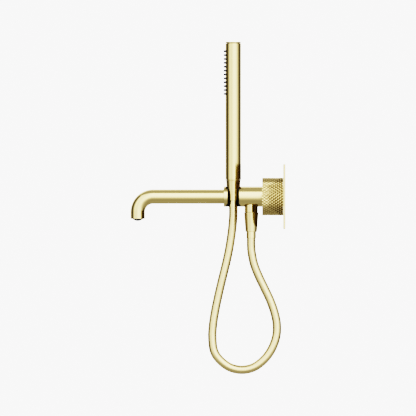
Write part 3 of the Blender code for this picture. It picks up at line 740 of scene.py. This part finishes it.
hoseEndSet = {
    "topRadius": 11.6 * mm, "endRadius": 9.3 * mm, "hole": 7.8 * mm, "seat": 20.3 * mm, "thread": 9.8 * mm,
    "grooves": (0.47, 0.73), "grooveDepth": 0.10 * mm, "grooveHalf": 0.22 * mm, "edge": 0.45 * mm,
    "upperRise": 1.0 * mm, "lowerRise": 0.4 * mm,     # how far the nuts reach up, close to what they are screwed to
}


# The nut is a cone, radius = top + (end - top) * share of its length, with faint grooves where its collar is
# pressed on, each a shallow V with a flat beside it.
def addNut(name, node, rise, grooves=()):
    size = uprightSizes(node)
    top, length = size["high"] + rise, size["high"] + rise - size["low"]
    topRadius, narrowing = hoseEndSet["topRadius"], hoseEndSet["endRadius"] - hoseEndSet["topRadius"]
    corners = [(topRadius, top, hoseEndSet["edge"])]
    for share in grooves:
        for offset, depth in ((-2, 0), (-1, 0), (0, hoseEndSet["grooveDepth"]), (1, 0), (2, 0)):
            place = share + offset * hoseEndSet["grooveHalf"] / length
            corners.append((topRadius + narrowing * place - depth, top - length * place, 0))
    corners += [
        (hoseEndSet["endRadius"], size["low"], hoseEndSet["edge"]), (hoseEndSet["hole"], size["low"], 0.3 * mm),
        (hoseEndSet["hole"], top - hoseEndSet["seat"], 0), (hoseEndSet["thread"], top - hoseEndSet["seat"], 0),
        (hoseEndSet["thread"], top, 0.3 * mm),
    ]
    return settle(turnedPiece(name, corners, (size["x"], size["y"], 0), "paleGold", ring=True), node)


ferruleSet = {
    "radius": 7.7 * mm, "flange": 9.4 * mm, "flangeHeight": 1.5 * mm, "bore": 4.5 * mm, "edge": 0.2 * mm,
    "skirt": 1.3 * mm, "skirtBore": 7.08 * mm,
}


# A sleeve with a flange at the top, and a thin skirt at the foot that covers the end of the hose.
def addFerrule(name, node):
    size = uprightSizes(node)
    step, rim = size["high"] - ferruleSet["flangeHeight"], size["low"] - ferruleSet["skirt"]
    corners = [
        (ferruleSet["flange"], size["high"], 0.2 * mm), (ferruleSet["flange"], step, 0.2 * mm),
        (ferruleSet["radius"], step, 0), (ferruleSet["radius"], rim, ferruleSet["edge"]),
        (ferruleSet["skirtBore"], rim, 0), (ferruleSet["skirtBore"], size["low"], 0),
        (ferruleSet["bore"], size["low"], 0.2 * mm), (ferruleSet["bore"], size["high"], 0.2 * mm),
    ]
    return settle(turnedPiece(name, corners, (size["x"], size["y"], 0), "paleGold", ring=True), node)


stickSet = {
    "bore": 11.0 * mm, "edge": 0.25 * mm, "lip": 1.8 * mm, "thread": 9.5 * mm, "waterWay": 5.5 * mm, "plug": 10.7 * mm,
    "capHeight": 2.5 * mm, "capEdge": 0.3 * mm, "seam": 0.8 * mm, "seamHeight": 1.6 * mm, "seamDepth": 0.58 * mm,
    "columns": 128, "rowStep": 1.4 * mm, "plainEnd": 5 * mm, "footGap": 0.3 * mm,
}
nozzleSet = {
    "rows": 12, "column": 3.5 * mm, "radius": 1.5 * mm, "root": 8.2 * mm, "reach": 3.0 * mm, "tip": 0.45 * mm,
    "gap": 0.32 * mm, "margin": 4.0 * mm, "stripHalf": 33.0, "stripIn": 7.9 * mm, "stripOut": 10.7 * mm,
    "stripColumns": 14, "columns": 24,
}


def nozzlePlaces():
    low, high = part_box("nozzle_strip")
    levels = np.linspace(low.z + nozzleSet["margin"], high.z - nozzleSet["margin"], nozzleSet["rows"])
    return [(side * nozzleSet["column"], level) for level in levels for side in (-1, 1)]


# The stick is a plain tube with a ring at its foot and a cap that has a V groove round it. The tube's rows are close
# enough together for the nozzle holes.
def addHandShower():
    tube, cap, foot = (uprightSizes(node) for node in ("shower_tube", "shower_end_cap", "shower_connector"))
    x, y = tube["x"], tube["y"]
    radius, edge, bore = tube["radius"], stickSet["edge"], stickSet["bore"]
    corners = [(radius, tube["high"], edge)]
    plainEnd = stickSet["plainEnd"]
    levels = np.arange(tube["high"] - plainEnd, tube["low"] + plainEnd, -stickSet["rowStep"])
    corners += [(radius, level, 0) for level in levels]
    corners += [(radius, tube["low"], edge), (bore, tube["low"], 0.1 * mm), (bore, tube["high"], 0.1 * mm)]
    piece = turnedPiece("showerTube", corners, (x, y, 0), "paleGold", stickSet["columns"], ring=True)
    drills = [
        ((x + offset, y - nozzleSet["root"], level), (x + offset, y - radius - 2 * mm, level),
         nozzleSet["radius"] + nozzleSet["gap"]) for offset, level in nozzlePlaces()
    ]
    settle(drillHoles(piece, drills, 20), "shower_tube")
    seam, seamEnd = cap["high"] - stickSet["seam"], cap["high"] - stickSet["seam"] - stickSet["seamHeight"]
    capFoot = cap["high"] - stickSet["capHeight"]
    corners = [
        (0, cap["high"], 0), (cap["radius"], cap["high"], stickSet["capEdge"]), (cap["radius"], seam, 0.05 * mm),
        (cap["radius"] - stickSet["seamDepth"], (seam + seamEnd) / 2, 0.05 * mm),
        (cap["radius"], seamEnd, 0.05 * mm), (cap["radius"], capFoot, edge), (stickSet["plug"], capFoot, 0),
        (stickSet["plug"], cap["low"], 0.3 * mm), (0, cap["low"], 0),
    ]
    settle(turnedPiece("showerEndCap", corners, (x, y, 0), "paleGold", stickSet["columns"]), "shower_end_cap")
    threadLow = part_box("shower_connector")[0].z
    lipLow = tube["low"] - stickSet["lip"] - stickSet["footGap"]
    lipTop = lipLow + stickSet["lip"]
    corners = [
        (stickSet["plug"], foot["high"], 0.3 * mm), (stickSet["plug"], lipTop, 0), (foot["radius"], lipTop, edge),
        (foot["radius"], lipLow, 0.35 * mm), (stickSet["thread"], lipLow, 0), (stickSet["thread"], threadLow, 0.4 * mm),
        (stickSet["waterWay"], threadLow, 0.2 * mm), (stickSet["waterWay"], foot["high"], 0.2 * mm),
    ]
    settle(turnedPiece("showerConnector", corners, (x, y, 0), "paleGold", stickSet["columns"], ring=True),
           "shower_connector")


# A curved strip inside the tube, r and angle and z each between two values, and two columns of round pegs with
# rounded tips that stand out through the tube's holes.
def addNozzles():
    low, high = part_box("nozzle_strip")
    tube = uprightSizes("shower_tube")
    x, y = tube["x"], tube["y"]
    half = nozzleSet["stripHalf"]
    angle = np.radians(np.linspace(-half, half, nozzleSet["stripColumns"]))[None]
    inner, outer = nozzleSet["stripIn"], nozzleSet["stripOut"]
    section = np.array([(outer, low.z), (outer, high.z), (inner, high.z), (inner, low.z)])
    reach, height = section[:, :1] + 0 * angle, section[:, 1:] + 0 * angle
    strip = np.stack([x + reach * np.sin(angle), y - reach * np.cos(angle), height], axis=-1)
    points, faces = joinGrids([(strip, True, False)])
    columns = strip.shape[1]
    faces += [[row * columns + end for row in range(4)] for end in (0, columns - 1)]
    outline = filletOutline([
        (0, nozzleSet["root"], 0), (nozzleSet["radius"] * 1.15, nozzleSet["root"], 0),
        (nozzleSet["radius"], tube["radius"] + nozzleSet["reach"], nozzleSet["tip"]),
        (0, tube["radius"] + nozzleSet["reach"], 0),
    ], 0.1 * mm)
    pegs = [
        (turnGrid(outline, nozzleSet["columns"], (x + offset, y, level), True), False, True)
        for offset, level in nozzlePlaces()
    ]
    pegPoints, pegFaces = joinGrids(pegs)
    faces += (np.array(pegFaces) + len(points)).tolist()
    piece = addSurface("nozzleStrip", np.concatenate([points, pegPoints]), faces, "blackSilicone", crisp=40)
    return settle(piece, "nozzle_strip")


knobSet = {
    "around": 40, "along": 5, "steps": 16, "depth": 0.75 * mm, "flatTop": 0.90, "chamfer": 0.2 * mm,
    "backReach": 0.8 * mm, "wall": 3.0 * mm, "face": 3.2 * mm, "boss": 13.5 * mm, "bossStart": 25.0 * mm,
    "hubGap": 0.3 * mm, "screwRadius": 2.3 * mm, "screwPlace": 29.2 * mm, "crisp": 14,
    "faceRings": np.array([0.05, 0.3, 0.8, 3.0, 12.0]) * mm,    # how far inside the grooves the face's rings lie
}


# Two families of V grooves wind round the knob, one each way, and leave pyramids between them: with a and b the
# places across the grooves, from 0 to 1, the height is 1 - max(|2a - 1|, |2b - 1|). The knurl runs over the whole
# length, cut only by a small chamfer at each end.
def addKnob(prefix):
    size, hub = roomSizes(prefix + "_knob"), roomSizes(prefix + "_knob_hub")
    radius, start, end = size["radius"], size["start"] - knobSet["backReach"], size["end"]
    columns = knobSet["around"] * knobSet["steps"]
    angle = np.linspace(0, fullTurn, columns, endpoint=False)[None]
    along = np.linspace(0, 1, knobSet["along"] * knobSet["steps"] + 1)[:, None]
    turns, rows = knobSet["around"] * angle / fullTurn, knobSet["along"] * along
    a, b = (turns + rows) % 1, (turns - rows) % 1
    height = 1 - np.maximum(np.abs(2 * a - 1), np.abs(2 * b - 1))
    height = np.minimum(height, knobSet["flatTop"]) / knobSet["flatTop"]
    depth = start + (end - start) * along
    limit = radius - np.maximum(knobSet["chamfer"] - np.minimum(depth - start, end - depth), 0)
    knurl = np.minimum(radius - knobSet["depth"] * (1 - height), limit)
    inside, cavity = radius - knobSet["wall"], end - knobSet["face"]
    bossHole, root, crisp = hub["radius"] + knobSet["hubGap"], radius - knobSet["depth"], knobSet["crisp"]
    back = filletOutline([
        (0, cavity, 0), (bossHole, cavity, 0), (bossHole, knobSet["bossStart"], 0.2 * mm),
        (knobSet["boss"], knobSet["bossStart"], 0.2 * mm), (knobSet["boss"], cavity, 0), (inside, cavity, 0.5 * mm),
        (inside, start, 0.3 * mm), (root - 0.3 * mm, start, 0),
    ])
    face = root - knobSet["faceRings"]
    front = np.column_stack([np.append(face, 0), np.full(len(face) + 1, end)])
    reach = np.concatenate([back[:, :1] + 0 * angle, knurl, front[:, :1] + 0 * angle])
    depth = np.concatenate([back[:, 1:] + 0 * angle, depth + 0 * angle, front[:, 1:] + 0 * angle])
    grid = np.stack([size["x"] + reach * np.cos(angle), -depth, size["z"] + reach * np.sin(angle)], axis=-1)
    knob = addSurface(prefix + "Knob", *joinGrids([(grid, False, True)]), "knurledGold", crisp)
    centre = (size["x"], -knobSet["screwPlace"])
    drill = ((*centre, -hub["radius"] - mm), (*centre, -radius - mm), knobSet["screwRadius"])
    drillHoles(knob, [drill], crisp=crisp)
    return settle(knob, prefix + "_knob")


sleeveSet = {"neck": 15.5 * mm, "neckEnd": 4.0 * mm, "bore": 13.0 * mm, "edge": 0.3 * mm}


# A plain ring round the valve, with a narrower neck that goes through the plate.
def addSleeve(prefix):
    size = roomSizes(prefix + "_sleeve")
    corners = [
        (size["radius"], size["end"], sleeveSet["edge"]), (size["radius"], sleeveSet["neckEnd"], sleeveSet["edge"]),
        (sleeveSet["neck"], sleeveSet["neckEnd"], 0), (sleeveSet["neck"], size["start"], 0.2 * mm),
        (sleeveSet["bore"], size["start"], 0.2 * mm), (sleeveSet["bore"], size["end"], sleeveSet["edge"]),
    ]
    piece = turnedPiece(prefix + "Sleeve", corners, (size["x"], 0, size["z"]), "paleGold", ring=True, towardsRoom=True)
    return settle(piece, prefix + "_sleeve")


grubSet = {"socket": 0.55, "socketDepth": 1.6 * mm, "edge": 0.25 * mm, "shoulder": 0.8, "columns": 48}


# A grub screw with its socket downwards. The socket is a hexagon: radius = flat / cos(angle past the last
# corner - 30 degrees), and it ends in a flat floor.
def addGrub(name, node):
    size = uprightSizes(node)
    angle = np.linspace(0, fullTurn, grubSet["columns"], endpoint=False)[None]
    hexagon = size["radius"] * grubSet["socket"] / np.cos(angle % (math.pi / 3) - math.pi / 6)
    outline = filletOutline([
        (0, size["high"], 0), (size["radius"], size["high"], grubSet["edge"]),
        (size["radius"], size["low"], grubSet["edge"]), (size["radius"] * grubSet["shoulder"], size["low"], 0),
    ], 0.1 * mm)
    low, floor = size["low"] + 0 * angle, size["low"] + grubSet["socketDepth"] + 0 * angle
    reach = np.concatenate([outline[:, :1] + 0 * angle, hexagon, hexagon, 0 * angle])
    height = np.concatenate([outline[:, 1:] + 0 * angle, low, floor, floor])
    grid = np.stack([size["x"] + reach * np.cos(angle), size["y"] + reach * np.sin(angle), height], axis=-1)
    return settle(addSurface(name, *joinGrids([(grid, False, True)]), "screwSteel", crisp=25), node)


addSpoutBody()
addLiner()
addSpoutPipe()
addAerator()
addHoseOutlet()
print("spout made")
addNut("lowerHoseNut", "lower_hose_nut", hoseEndSet["lowerRise"])
addNut("upperHoseNut", "upper_hose_nut", hoseEndSet["upperRise"], hoseEndSet["grooves"])
addFerrule("lowerFerrule", "lower_hose_fitting")
addFerrule("upperFerrule", "upper_hose_fitting")
addHandShower()
addNozzles()
print("hand shower made")
for prefix in ("mixer", "diverter"):
    addKnob(prefix)
    addSleeve(prefix)
    addGrub(prefix + "KnobScrew", prefix + "_knob_screw")
addGrub("spoutBodyScrew", "spout_body_screw")
print("knobs made")

# The CAD nodes that no finer piece stands for show as they are, each with its slot's finish; the wall plate instead
# gets a darker copy of the gold, which is painted shade.
for name, node in nodes.items():
    if not node.hide_render:
        material = materials["plateGold" if name == "wall_plate" else finishOfSlot[slotOfNode[name]]]
        if not node.data.materials:
            node.data.materials.append(material)
        for place in node.material_slots:
            place.material = material
print("CAD nodes finished")


floorSet = {"drop": 0.12, "half": 3.0, "colour": (0.80, 0.80, 0.79), "tone": (0.76, 0.76, 0.75)}


# A flat square below the object, which the metal doesn't mirror.
def addFloor():
    level = cadBox[0][2] - floorSet["drop"]
    half = floorSet["half"]
    mesh = bpy.data.meshes.new("floor")
    mesh.from_pydata([(-half, -half, level), (half, -half, level), (half, half, level), (-half, half, level)], [],
                     [(0, 1, 2, 3)])
    mesh.materials.append(makeFinish("paleFloor", {
        "colour": floorSet["colour"], "tone": floorSet["tone"], "metallic": 0.0, "roughness": (0.55, 0.65),
        "patchSize": 0.4, "hairline": 0.0, "grainSize": 0.004, "grain": 0.05,
    }))
    floor = bpy.data.objects.new("floor", mesh)
    bpy.context.scene.collection.objects.link(floor)
    floor.visible_glossy = False


addFloor()
print("floor made")
